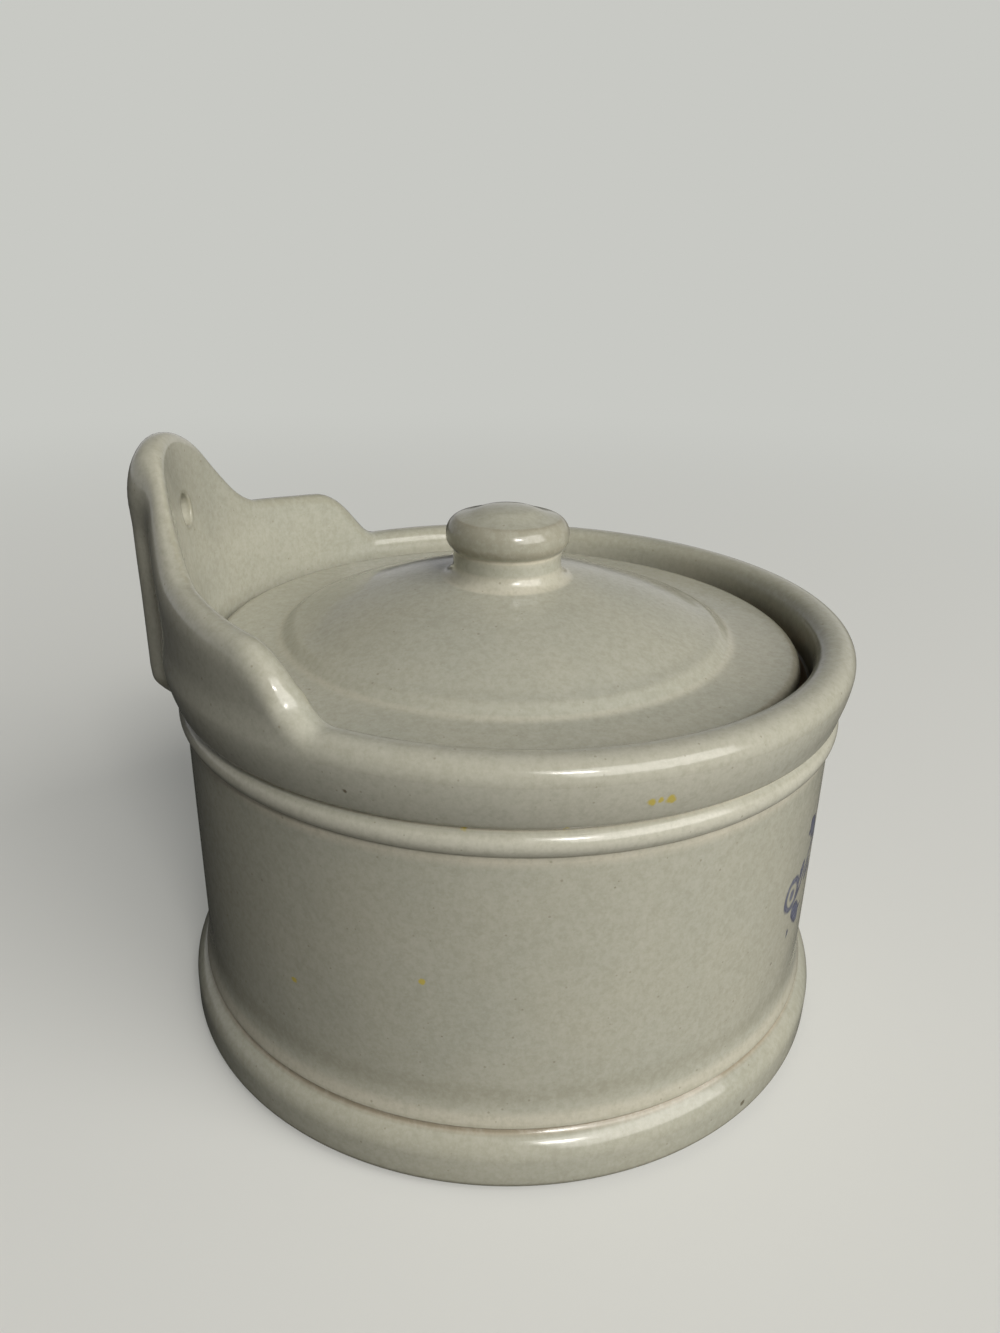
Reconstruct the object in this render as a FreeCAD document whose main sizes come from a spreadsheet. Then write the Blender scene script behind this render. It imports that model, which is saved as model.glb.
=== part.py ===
"""Wall-hung stoneware salt crock with a loose knobbed lid.

The crock is one fired piece: a turned vessel whose rolled rim rises at the back into a
scalloped backplate with a hanging hole and a flat pad that lies against the wall.
The lid is a second fired piece that drops onto a ledge inside the mouth.

Frame: millimetres, +Z up, origin at the centre of the foot, front at -Y, backplate at +Y.
"""
import FreeCAD, Part
import math
import os
import Sketcher

# Driving sizes
SIZES = {
    # vessel wall and foot
    "body_radius": 70.0,
    "wall_thickness": 7.5,
    "floor_height": 7.5,
    "floor_corner": 9.0,
    "foot_ring_width": 12.8,
    "foot_recess_depth": 1.6,
    "foot_recess_draft": 1.2,
    # moulded base band, closed above by an incised line
    "base_overhang": 3.8,
    "base_edge_round": 2.2,
    "base_band_straight": 6.0,
    "base_band_round": 8.2,
    "base_line_height": 12.5,
    "base_line_width": 0.9,
    "base_line_overhang": 0.7,
    "flare_overhang": 1.2,
    "flare_length": 6.5,
    # rolled rim
    "rim_height": 89.9,
    "rim_depth": 13.4,
    "rim_overhang": 3.5,
    "rim_swell_drop": 4.9,
    "rim_foot_stand": 0.8,
    "rim_wall": 8.5,
    "rim_outer_round": 3.9,
    "rim_inner_round": 2.4,
    # low bead and undercut below the rim
    "bead_width": 4.8,
    "bead_stand": 1.4,
    "bead_gap": 0.6,
    "undercut_depth": 0.6,
    "undercut_width": 0.6,
    # mouth and the ledge that carries the lid
    "mouth_depth": 10.1,
    "ledge_width": 5.0,
    "ledge_depth": 6.0,
    "ledge_taper": 6.0,
    # scalloped backplate; angles in degrees
    "plate_rise": 36.5,
    "peak_round": 22.0,
    "notch_offset": 28.8,
    "notch_rise": 15.7,
    "notch_round": 12.0,
    "shoulder_slope": 7.1,
    "knee_round": 14.0,
    "side_bearing": 54.2,
    "side_slope": 49.0,
    "side_rise": 7.1,
    "foot_round": 8.0,
    "plate_lean": 6.5,
    "lean_drop": 2.9,
    # flat pad on the back of the plate
    "pad_stand": 2.6,
    "pad_half_width": 11.4,
    "pad_corner": 4.4,
    "pad_cove": 1.8,
    "pad_drop": 16.7,
    "pad_foot_slope": 2.4,
    "pad_overlap": 4.0,
    # hanging hole
    "hole_radius": 3.5,
    "hole_drop": 15.6,
    "hole_round": 0.8,
    # lid
    "lid_clearance": 1.5,
    "seat_gap": 0.2,
    "flange_width": 13.5,
    "flange_thickness": 4.8,
    "flange_top_round": 2.4,
    "flange_under_round": 1.6,
    "flange_rise": 0.8,
    "step_width": 5.5,
    "step_rise": 2.7,
    "step_round": 3.6,
    "dome_rise": 8.7,
    "dome_round": 112.0,
    "neck_flare": 4.2,
    "neck_flare_rise": 3.5,
    "neck_radius": 11.5,
    "neck_length": 3.3,
    "knob_radius": 13.1,
    "knob_edge_round": 3.5,
    "knob_under": 3.0,
    "knob_shoulder": 3.2,
    "knob_shoulder_inset": 2.0,
    "knob_crown": 1.8,
    "ring_clearance": 1.6,
    "ring_thickness": 4.0,
    "ring_depth": 3.5,
    "lid_thickness": 5.6,
}

NEAR = 0.05
STEEP = 0.3


class Size:
    """A length that knows its value and the sheet expression it comes from."""

    def __init__(self, value, text):
        self.value = float(value)
        self.text = text

    def __add__(self, other):
        other = as_size(other)
        return Size(self.value + other.value, f"({self.text} + {other.text})")

    def __sub__(self, other):
        other = as_size(other)
        return Size(self.value - other.value, f"({self.text} - {other.text})")

    def __mul__(self, factor):
        return Size(self.value * factor, f"({self.text} * {factor})")

    def __neg__(self):
        return self * -1


def as_size(number):
    return number if isinstance(number, Size) else Size(number, str(float(number)))


ZERO = as_size(0)


def easing_radius(run, rise):
    """Radius of an arc that starts along the run and has left it by the rise at its end."""
    value = (run.value**2 + rise.value**2) / (2 * rise.value)
    return Size(value, f"(({run.text})^2 + ({rise.text})^2) / (2 * ({rise.text}))")


def rise_of(run, slope):
    """Height gained along a run at a slope in degrees."""
    value = run.value * math.tan(math.radians(slope.value))
    return Size(value, f"({run.text} * tan({slope.text} * 1deg))")


def run_of(rise, slope):
    """Run along which a slope in degrees gains a rise."""
    value = rise.value / math.tan(math.radians(slope.value))
    return Size(value, f"({rise.text} / tan({slope.text} * 1deg))")


def make_sheet(doc):
    """Write the driving sizes into the sheet and return them as named sizes."""
    sheet = doc.addObject("Spreadsheet::Sheet", "Sizes")
    named = {}
    for row, (alias, value) in enumerate(SIZES.items(), start=1):
        sheet.set(f"A{row}", alias)
        sheet.set(f"B{row}", str(value))
        sheet.setAlias(f"B{row}", alias)
        named[alias] = Size(value, f"Sizes.{alias}")
    doc.recompute()
    return named


def place_sizes(size):
    """Add the radii and heights that follow from the driving sizes."""
    body = size["body_radius"]
    rim_height = size["rim_height"]
    size["base_radius"] = body + size["base_overhang"]
    size["undercut_radius"] = body - size["undercut_depth"]
    size["rim_radius"] = body + size["rim_overhang"]
    size["mouth_radius"] = size["rim_radius"] - size["rim_wall"]
    size["ledge_radius"] = size["mouth_radius"] - size["ledge_width"]
    size["pad_face"] = size["rim_radius"] + size["pad_stand"]
    size["undercut_height"] = rim_height - size["rim_depth"]
    size["bead_height"] = size["undercut_height"] - size["bead_gap"] - size["bead_width"] * 0.5
    size["ledge_height"] = rim_height - size["mouth_depth"]
    size["lean_start"] = rim_height - size["lean_drop"]
    size["pad_bottom"] = rim_height - size["pad_drop"]
    size["notch_height"] = rim_height + size["notch_rise"]
    size["plate_height"] = rim_height + size["plate_rise"]
    size["hole_height"] = size["plate_height"] - size["hole_drop"]
    # the turned form stands this tall before its top is cut to shape
    size["blank_height"] = size["plate_height"] + size["peak_round"]


# Sketch helpers
def origin_plane(body, role):
    return next(item for item in body.Origin.OriginFeatures if item.Role == role)


def new_sketch(body, name, plane):
    sketch = body.newObject("Sketcher::SketchObject", name)
    sketch.AttachmentSupport = [(origin_plane(body, plane), "")]
    sketch.MapMode = "FlatFace"
    return sketch


def arc_between(start, end, radius, turn):
    """Arc from start to end. turn is +1 when the path turns left along it, -1 when right."""
    chord = FreeCAD.Vector(end[0] - start[0], end[1] - start[1], 0)
    half = chord.Length / 2
    reach = math.sqrt(max(radius * radius - half * half, 0.0))
    left = FreeCAD.Vector(-chord.y, chord.x, 0).normalize()
    middle = FreeCAD.Vector((start[0] + end[0]) / 2, (start[1] + end[1]) / 2, 0)
    centre = middle + left * reach * turn
    first = math.atan2(start[1] - centre.y, start[0] - centre.x)
    last = math.atan2(end[1] - centre.y, end[0] - centre.x)
    if turn < 0:
        first, last = last, first
    if last < first:
        last += 2 * math.pi
    circle = Part.Circle(centre, FreeCAD.Vector(0, 0, 1), radius)
    return Part.ArcOfCircle(circle, first, last)


def tie(sketch, kind, value, *where):
    """Add a constraint whose value follows the sheet."""
    index = sketch.addConstraint(Sketcher.Constraint(kind, *where, value.value))
    sketch.setExpression(f"Constraints[{index}]", value.text)


def draw_outline(sketch, corners):
    """Closed outline through corners, each (x, y) or (x, y, radius, turn).

    A corner with a radius starts an arc that runs to the next corner.
    """
    ends = []
    for place, corner in enumerate(corners):
        following = corners[(place + 1) % len(corners)]
        start = (corner[0].value, corner[1].value)
        end = (following[0].value, following[1].value)
        if len(corner) == 4:
            piece = arc_between(start, end, corner[2].value, corner[3])
            ends.append((1, 2) if corner[3] > 0 else (2, 1))
        else:
            piece = Part.LineSegment(FreeCAD.Vector(*start, 0), FreeCAD.Vector(*end, 0))
            ends.append((1, 2))
        sketch.addGeometry(piece, False)
    for place, corner in enumerate(corners):
        after = (place + 1) % len(corners)
        sketch.addConstraint(
            Sketcher.Constraint("Coincident", place, ends[place][1], after, ends[after][0])
        )
        tie(sketch, "DistanceX", corner[0], -1, 1, place, ends[place][0])
        tie(sketch, "DistanceY", corner[1], -1, 1, place, ends[place][0])
        if len(corner) == 4:
            tie(sketch, "Radius", corner[2], place)


def turn_profile(body, kind, name, corners):
    """Turn an outline about the vertical axis, as a Revolution or a Groove."""
    sketch = new_sketch(body, name + "_profile", "XZ_Plane")
    draw_outline(sketch, corners)
    feature = body.newObject("PartDesign::" + kind, name)
    feature.Profile = sketch
    feature.ReferenceAxis = (sketch, ["V_Axis"])
    feature.Angle = 360
    body.Document.recompute()
    return feature


def cut_straight(body, name, sketch, length, reverse=False, both_ways=False):
    """Cut an outline straight through, and make sure that it removed something."""
    before = body.Shape.Volume
    pocket = body.newObject("PartDesign::Pocket", name)
    pocket.Profile = sketch
    pocket.Type = "Length"
    pocket.setExpression("Length", length.text)
    pocket.Reversed = reverse
    pocket.Midplane = both_ways
    body.Document.recompute()
    if body.Shape.Volume > before - NEAR:
        raise RuntimeError(f"{name} cut nothing")
    return pocket


def round_edges(body, name, base, edges, radius):
    if not edges:
        raise RuntimeError(f"{name} found no edge")
    fillet = body.newObject("PartDesign::Fillet", name)
    fillet.Base = (base, edges)
    fillet.setExpression("Radius", radius.text)
    body.Document.recompute()
    return fillet


def middle_of(edge):
    return edge.valueAt((edge.FirstParameter + edge.LastParameter) / 2)


def edges_where(shape, test):
    return [f"Edge{n}" for n, edge in enumerate(shape.Edges, start=1) if test(edge)]


# Vessel
def turned_outside(size):
    """Outside of the vessel as a solid of full height, from the foot up."""
    body = size["body_radius"]
    line_radius = body + size["base_line_overhang"]
    line_low = size["base_line_height"] - size["base_line_width"] * 0.5
    line_high = size["base_line_height"] + size["base_line_width"] * 0.5
    recess = size["base_radius"] - size["foot_ring_width"]
    flare_round = easing_radius(size["flare_length"], size["flare_overhang"])
    swell_low = size["undercut_height"] + size["undercut_width"]
    swell_high = size["rim_height"] - size["rim_swell_drop"]
    rim_foot = body + size["rim_foot_stand"]
    swell_round = easing_radius(swell_high - swell_low, size["rim_radius"] - rim_foot)
    bead_half = size["bead_width"] * 0.5
    bead_round = easing_radius(bead_half, size["bead_stand"])
    return [
        (ZERO, size["foot_recess_depth"]),
        (recess - size["foot_recess_draft"], size["foot_recess_depth"]),
        (recess, ZERO),
        (size["base_radius"] - size["base_edge_round"], ZERO, size["base_edge_round"], 1),
        (size["base_radius"], size["base_edge_round"]),
        (size["base_radius"], size["base_band_straight"], size["base_band_round"], 1),
        (line_radius + size["base_line_width"] * 0.5, line_low),
        (line_radius, size["base_line_height"]),
        (body + size["flare_overhang"], line_high, flare_round, -1),
        (body, line_high + size["flare_length"]),
        (body, size["bead_height"] - bead_half, bead_round, 1),
        (body + size["bead_stand"], size["bead_height"], bead_round, 1),
        (body, size["bead_height"] + bead_half),
        (size["undercut_radius"], size["undercut_height"]),
        (rim_foot, swell_low, swell_round, 1),
        (size["rim_radius"], swell_high),
        (size["rim_radius"], size["blank_height"]),
        (ZERO, size["blank_height"]),
    ]


def turned_inside(size):
    """Room inside the vessel: floor, wall, ledge, mouth and the leaning plate above it."""
    inner_radius = size["body_radius"] - size["wall_thickness"]
    top = size["blank_height"]
    leaning = size["mouth_radius"] + rise_of(top - size["lean_start"], size["plate_lean"])
    lip_low = size["ledge_height"] - size["ledge_depth"]
    return [
        (ZERO, size["floor_height"]),
        (inner_radius - size["floor_corner"], size["floor_height"], size["floor_corner"], 1),
        (inner_radius, size["floor_height"] + size["floor_corner"]),
        (inner_radius, lip_low - size["ledge_taper"]),
        (size["ledge_radius"], lip_low),
        (size["ledge_radius"], size["ledge_height"]),
        (size["mouth_radius"], size["ledge_height"]),
        (size["mouth_radius"], size["lean_start"]),
        (leaning, top),
        (ZERO, top),
    ]


def draw_pad(sketch, size):
    """Plan of the wall pad: flat face, rounded corners and coves that run into the rim."""
    face = size["pad_face"].value
    half = size["pad_half_width"].value
    corner = size["pad_corner"].value
    cove = size["pad_cove"].value
    rim = size["rim_radius"].value
    corner_x, corner_y = half - corner, face - corner
    # the cove touches the corner and the rim, so its centre is a known way from both
    between = math.hypot(corner_x, corner_y)
    to_cove = rim + cove
    bearing = math.atan2(corner_x, corner_y)
    opening = (between**2 + to_cove**2 - (corner + cove) ** 2) / (2 * between * to_cove)
    bearing += math.acos(opening)
    cove_x, cove_y = to_cove * math.sin(bearing), to_cove * math.cos(bearing)
    meet_x, meet_y = rim * math.sin(bearing), rim * math.cos(bearing)
    share = corner / (corner + cove)
    turn_x = corner_x + (cove_x - corner_x) * share
    turn_y = corner_y + (cove_y - corner_y) * share
    root = size["mouth_radius"].value - size["pad_overlap"].value

    def point(x, y):
        return FreeCAD.Vector(x, y, 0)

    pieces = [
        Part.LineSegment(point(-meet_x, root), point(meet_x, root)),
        Part.LineSegment(point(meet_x, root), point(meet_x, meet_y)),
        arc_between((meet_x, meet_y), (turn_x, turn_y), cove, -1),
        arc_between((turn_x, turn_y), (corner_x, face), corner, 1),
        Part.LineSegment(point(corner_x, face), point(-corner_x, face)),
        arc_between((-corner_x, face), (-turn_x, turn_y), corner, 1),
        arc_between((-turn_x, turn_y), (-meet_x, meet_y), cove, -1),
        Part.LineSegment(point(-meet_x, meet_y), point(-meet_x, root)),
    ]
    for piece in pieces:
        sketch.addGeometry(piece, False)
    bottom, right, cove_r, corner_r, flat, corner_l, cove_l, left = range(len(pieces))
    rim_guide = sketch.addGeometry(
        Part.Circle(point(0, 0), FreeCAD.Vector(0, 0, 1), rim), True
    )
    join = Sketcher.Constraint
    # a right turn is drawn from its far end, so its start and end change places
    sketch.addConstraint(join("Coincident", bottom, 2, right, 1))
    sketch.addConstraint(join("Coincident", right, 2, cove_r, 2))
    sketch.addConstraint(join("Coincident", cove_l, 1, left, 1))
    sketch.addConstraint(join("Coincident", left, 2, bottom, 1))
    sketch.addConstraint(join("Tangent", cove_r, 1, corner_r, 1))
    sketch.addConstraint(join("Tangent", corner_r, 2, flat, 1))
    sketch.addConstraint(join("Tangent", flat, 2, corner_l, 1))
    sketch.addConstraint(join("Tangent", corner_l, 2, cove_l, 2))
    sketch.addConstraint(join("Coincident", rim_guide, 3, -1, 1))
    sketch.addConstraint(join("Tangent", cove_r, 2, rim_guide))
    sketch.addConstraint(join("Tangent", cove_l, 1, rim_guide))
    sketch.addConstraint(join("Vertical", right))
    sketch.addConstraint(join("Vertical", left))
    sketch.addConstraint(join("Horizontal", bottom))
    sketch.addConstraint(join("Symmetric", flat, 1, flat, 2, -2))
    tie(sketch, "Radius", size["rim_radius"], rim_guide)
    tie(sketch, "Radius", size["pad_corner"], corner_r)
    tie(sketch, "Radius", size["pad_corner"], corner_l)
    tie(sketch, "Radius", size["pad_cove"], cove_r)
    tie(sketch, "Radius", size["pad_cove"], cove_l)
    tie(sketch, "DistanceY", size["pad_face"], -1, 1, flat, 1)
    tie(sketch, "DistanceX", size["pad_half_width"] - size["pad_corner"], -1, 1, flat, 1)
    tie(sketch, "DistanceY", size["mouth_radius"] - size["pad_overlap"], -1, 1, bottom, 1)


def add_pad(body, size):
    """Stand the pad on its own plane on the bead and carry it past the top."""
    sketch = new_sketch(body, "wall_pad_plan", "XY_Plane")
    sketch.setExpression(".AttachmentOffset.Base.z", size["pad_bottom"].text)
    draw_pad(sketch, size)
    pad = body.newObject("PartDesign::Pad", "wall_pad")
    pad.Profile = sketch
    pad.setExpression("Length", (size["blank_height"] - size["pad_bottom"]).text)
    body.Document.recompute()


def slope_pad_foot(body, size):
    """Run the lower edge of the pad out at 45 degrees."""
    start = size["pad_face"] - size["pad_foot_slope"]
    reach = size["pad_face"] + size["pad_corner"]
    sketch = new_sketch(body, "pad_foot_slope", "YZ_Plane")
    draw_outline(
        sketch,
        [
            (start, size["pad_bottom"]),
            (reach, size["pad_bottom"]),
            (reach, size["pad_bottom"] + reach - start),
        ],
    )
    cut_straight(body, "pad_foot", sketch, size["body_radius"], both_ways=True)


def draw_crown(sketch, size):
    """Everything above the rounded peak and the shoulders that fall away on both sides."""
    peak = size["peak_round"]
    centre = size["plate_height"] - peak
    reach = size["rim_radius"] + peak
    top = size["blank_height"] + peak
    shoulder_end = size["notch_height"] - rise_of(
        reach - size["notch_offset"], size["shoulder_slope"]
    )
    notch = (size["notch_offset"].value, size["notch_height"].value)
    # the side of the peak leaves its round where it points at the notch
    away = math.hypot(notch[0], notch[1] - centre.value)
    swing = math.acos(peak.value / away)
    bearing = math.atan2(notch[1] - centre.value, notch[0]) + swing
    touch_x = peak.value * math.cos(bearing)
    touch_y = centre.value + peak.value * math.sin(bearing)
    side = [
        (size["notch_offset"], size["notch_height"]),
        (reach, shoulder_end),
        (reach, top),
    ]
    path = side + [(-x, y) for x, y in reversed(side)]

    def point(x, y):
        return FreeCAD.Vector(x, y, 0)

    crown = sketch.addGeometry(arc_between((touch_x, touch_y), (-touch_x, touch_y), peak.value, 1))
    ends = [point(x.value, y.value) for x, y in path]
    first = sketch.addGeometry(Part.LineSegment(point(touch_x, touch_y), ends[0]))
    for start, end in zip(ends, ends[1:]):
        last = sketch.addGeometry(Part.LineSegment(start, end))
    last = sketch.addGeometry(Part.LineSegment(ends[-1], point(-touch_x, touch_y)))
    join = Sketcher.Constraint
    sketch.addConstraint(join("Tangent", first, 1, crown, 1))
    sketch.addConstraint(join("Tangent", last, 2, crown, 2))
    sketch.addConstraint(join("PointOnObject", crown, 3, -2))
    tie(sketch, "DistanceY", centre, -1, 1, crown, 3)
    tie(sketch, "Radius", peak, crown)
    for line, (x, y) in enumerate(path, start=first):
        sketch.addConstraint(join("Coincident", line, 2, line + 1, 1))
        tie(sketch, "DistanceX", x, -1, 1, line, 2)
        tie(sketch, "DistanceY", y, -1, 1, line, 2)


def cut_crown(body, size):
    sketch = new_sketch(body, "crown_outline", "XZ_Plane")
    draw_crown(sketch, size)
    cut_straight(body, "crown", sketch, (size["rim_radius"] + size["pad_face"]) * 2, both_ways=True)


def cut_sides(body, size):
    """Slope the plate down to the level rim on each side, square to the wall there."""
    sketch = new_sketch(body, "side_outline", "XZ_Plane")
    facing = FreeCAD.Rotation(FreeCAD.Vector(0, -1, 0), size["side_bearing"].value)
    sketch.AttachmentOffset = FreeCAD.Placement(FreeCAD.Vector(), facing)
    sketch.setExpression(".AttachmentOffset.Rotation.Angle", size["side_bearing"].text)
    reach = (size["rim_radius"] + size["pad_face"]) * 2
    top = size["blank_height"] + size["peak_round"]
    foot = run_of(size["side_rise"], size["side_slope"])
    draw_outline(
        sketch,
        [
            (foot, size["rim_height"]),
            (reach, size["rim_height"]),
            (reach, top),
            (foot - run_of(top - size["rim_height"], size["side_slope"]), top),
        ],
    )
    side = cut_straight(body, "side", sketch, reach, both_ways=True)
    before = body.Shape.Volume
    mirror = body.newObject("PartDesign::Mirrored", "other_side")
    mirror.Originals = [side]
    mirror.MirrorPlane = (origin_plane(body, "YZ_Plane"), [""])
    body.Tip = mirror
    body.Document.recompute()
    if body.Shape.Volume > before - NEAR:
        raise RuntimeError("other_side cut nothing")


def top_faces(shape, size):
    """Faces left by the cuts along the top of rim and plate, with their rounded corners."""
    found = []
    for face in shape.Faces:
        surface = face.Surface
        if face.CenterOfMass.z < size["rim_height"].value - NEAR:
            continue
        if isinstance(surface, Part.Plane) and abs(surface.Axis.z) > STEEP:
            found.append(face)
        if isinstance(surface, Part.Cylinder) and abs(surface.Axis.z) < STEEP:
            found.append(face)
    return found


def owners_of(edge, faces):
    return [face for face in faces if any(edge.isSame(other) for other in face.Edges)]


def round_scallop_corners(body, size):
    """Soften knee, foot and notch, whose edges run through the plate from face to face."""
    rim = size["rim_height"].value
    notch = size["notch_height"].value
    bands = {
        "knee": (rim + NEAR, notch - NEAR),
        "foot": (rim - NEAR, rim + NEAR),
        "notch": (notch - NEAR, notch + NEAR),
    }
    for name, (low, high) in bands.items():
        base = body.Tip
        tops = top_faces(base.Shape, size)

        def through_plate(edge):
            return low < middle_of(edge).z < high and len(owners_of(edge, tops)) == 2

        edges = edges_where(base.Shape, through_plate)
        round_edges(body, name + "_rounding", base, edges, size[name + "_round"])


def round_rim(body, size):
    """Roll the whole edge of rim and plate, outside and inside."""
    for name, outside in (("rim_outer", True), ("rim_inner", False)):
        base = body.Tip
        tops = top_faces(base.Shape, size)

        def along_side(edge):
            spot = middle_of(edge)
            above = Size(max(spot.z - size["lean_start"].value, 0), "")
            inner = size["mouth_radius"].value + rise_of(above, size["plate_lean"]).value
            beyond = math.hypot(spot.x, spot.y) > (size["rim_radius"].value + inner) / 2
            return len(owners_of(edge, tops)) == 1 and beyond == outside

        edges = edges_where(base.Shape, along_side)
        round_edges(body, name + "_roll", base, edges, size[name + "_round"])


def bore_hole(body, size):
    """Hanging hole through the plate, with a softened edge at each end."""
    sketch = new_sketch(body, "hanging_hole_outline", "XZ_Plane")
    centre = FreeCAD.Vector(0, size["hole_height"].value, 0)
    circle = Part.Circle(centre, FreeCAD.Vector(0, 0, 1), size["hole_radius"].value)
    sketch.addGeometry(circle, False)
    sketch.addConstraint(Sketcher.Constraint("PointOnObject", 0, 3, -2))
    tie(sketch, "DistanceY", size["hole_height"], -1, 1, 0, 3)
    tie(sketch, "Radius", size["hole_radius"], 0)
    hole = cut_straight(body, "hanging_hole", sketch, size["pad_face"] + size["peak_round"])

    def round_hole(edge):
        spot = middle_of(edge)
        away = math.hypot(spot.x, spot.z - size["hole_height"].value)
        return abs(away - size["hole_radius"].value) < NEAR and len(edge.Vertexes) == 1

    edges = edges_where(hole.Shape, round_hole)
    round_edges(body, "hanging_hole_edges", hole, edges, size["hole_round"])


def make_crock(doc, size):
    body = doc.addObject("PartDesign::Body", "crock")
    body.Label = "crock"
    turn_profile(body, "Revolution", "turned_form", turned_outside(size))
    add_pad(body, size)
    slope_pad_foot(body, size)
    turn_profile(body, "Groove", "inside", turned_inside(size))
    cut_crown(body, size)
    cut_sides(body, size)
    round_scallop_corners(body, size)
    round_rim(body, size)
    bore_hole(body, size)
    return body


# Lid, drawn from the underside of its flange
def lid_profile(size):
    """Half section of the lid: locating ring, flange, step, low dome, neck and knob."""
    radius = size["mouth_radius"] - size["lid_clearance"]
    ring = size["ledge_radius"] - size["ring_clearance"]
    ring_inner = ring - size["ring_thickness"]
    under = size["flange_under_round"]
    edge = size["flange_top_round"]
    flange_top = size["flange_thickness"]
    step_foot = flange_top + size["flange_rise"]
    foot_radius = radius - size["flange_width"]
    crest = step_foot + size["step_rise"]
    crest_radius = foot_radius - size["step_width"]
    step_middle = foot_radius - size["step_width"] * 0.5
    step_half = step_foot + size["step_rise"] * 0.5
    dome_top = crest + size["dome_rise"]
    neck_low = dome_top + size["neck_flare_rise"]
    neck_high = neck_low + size["neck_length"]
    knob_middle = neck_high + size["knob_under"]
    shoulder = knob_middle + size["knob_shoulder"]
    top_radius = size["knob_radius"] - size["knob_shoulder_inset"]
    crown_round = easing_radius(top_radius, size["knob_crown"])
    return [
        (ZERO, dome_top - size["lid_thickness"]),
        (ZERO, shoulder + size["knob_crown"], crown_round, -1),
        (top_radius, shoulder, size["knob_edge_round"], -1),
        (size["knob_radius"], knob_middle, size["knob_edge_round"], -1),
        (size["neck_radius"], neck_high),
        (size["neck_radius"], neck_low, size["neck_flare"], 1),
        (size["neck_radius"] + size["neck_flare"], dome_top, size["dome_round"], -1),
        (crest_radius, crest, size["step_round"], -1),
        (step_middle, step_half, size["step_round"], 1),
        (foot_radius, step_foot),
        (radius - edge, flange_top, edge, -1),
        (radius, flange_top - edge),
        (radius, under, under, -1),
        (radius - under, ZERO),
        (ring, ZERO),
        (ring, -size["ring_depth"]),
        (ring_inner, -size["ring_depth"]),
        (ring_inner, step_foot - size["lid_thickness"]),
        (size["neck_radius"] + size["neck_flare"], dome_top - size["lid_thickness"]),
    ]


def make_lid(doc, size):
    body = doc.addObject("PartDesign::Body", "lid")
    body.Label = "lid"
    turn_profile(body, "Revolution", "lid_form", lid_profile(size))
    body.setExpression(".Placement.Base.z", (size["ledge_height"] + size["seat_gap"]).text)
    return body


def check(doc, pieces):
    for item in doc.Objects:
        if "Invalid" in item.State or "Error" in item.State:
            raise RuntimeError(f"{item.Name} failed: {item.State}")
    for piece in pieces:
        if piece.Shape.isNull() or not piece.Shape.isValid():
            raise RuntimeError(f"{piece.Label} has no valid shape")
        if len(piece.Shape.Solids) != 1:
            raise RuntimeError(f"{piece.Label} has {len(piece.Shape.Solids)} solids")


def main():
    os.makedirs("parts", exist_ok=True)
    doc = FreeCAD.newDocument("salt_crock")
    size = make_sheet(doc)
    place_sizes(size)
    pieces = [make_crock(doc, size), make_lid(doc, size)]
    doc.recompute()
    check(doc, pieces)
    for piece in pieces:
        box = piece.Shape.optimalBoundingBox()
        print(
            f"{piece.Label}: {piece.Shape.Volume:.0f} mm3,"
            f" x {box.XMin:.2f} to {box.XMax:.2f},"
            f" y {box.YMin:.2f} to {box.YMax:.2f}, z {box.ZMin:.2f} to {box.ZMax:.2f}"
        )
        piece.Shape.exportStep(f"parts/{piece.Label}.step")


main()
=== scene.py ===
"""Looks of a glazed stoneware salt crock with a loose lid."""
import math

import bpy
import numpy as np
from mathutils import Euler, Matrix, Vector


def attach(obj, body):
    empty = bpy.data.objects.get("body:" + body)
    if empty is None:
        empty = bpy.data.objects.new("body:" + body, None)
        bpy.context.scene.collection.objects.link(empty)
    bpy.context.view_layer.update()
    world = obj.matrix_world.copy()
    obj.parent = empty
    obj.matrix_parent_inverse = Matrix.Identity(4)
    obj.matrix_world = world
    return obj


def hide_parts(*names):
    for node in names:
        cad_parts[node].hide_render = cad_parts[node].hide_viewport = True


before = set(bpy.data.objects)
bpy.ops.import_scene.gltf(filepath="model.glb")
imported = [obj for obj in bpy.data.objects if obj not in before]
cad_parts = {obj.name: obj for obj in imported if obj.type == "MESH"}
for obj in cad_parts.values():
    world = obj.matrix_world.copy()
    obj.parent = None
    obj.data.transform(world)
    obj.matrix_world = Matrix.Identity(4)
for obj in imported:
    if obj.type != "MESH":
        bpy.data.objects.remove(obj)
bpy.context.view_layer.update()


def srgb(red, green, blue):
    """Linear colour from 0 to 255 display values."""
    def linear(value):
        value /= 255
        return value / 12.92 if value <= 0.04045 else ((value + 0.055) / 1.055) ** 2.4
    return (linear(red), linear(green), linear(blue), 1.0)


# Camera at the photograph's place and angle
camera_data = bpy.data.cameras.new("camera")
camera_data.sensor_width = 36.0
camera_data.lens = 27.29
camera_data.clip_start = 0.01
camera = bpy.data.objects.new("camera", camera_data)
camera.location = (-0.20951, 0.01098, 0.1639)
camera.rotation_euler = Euler(
    (math.radians(67.1365), math.radians(-1.1002), math.radians(-91.9991)), "XYZ"
)
bpy.context.scene.collection.objects.link(camera)
bpy.context.scene.camera = camera


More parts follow.
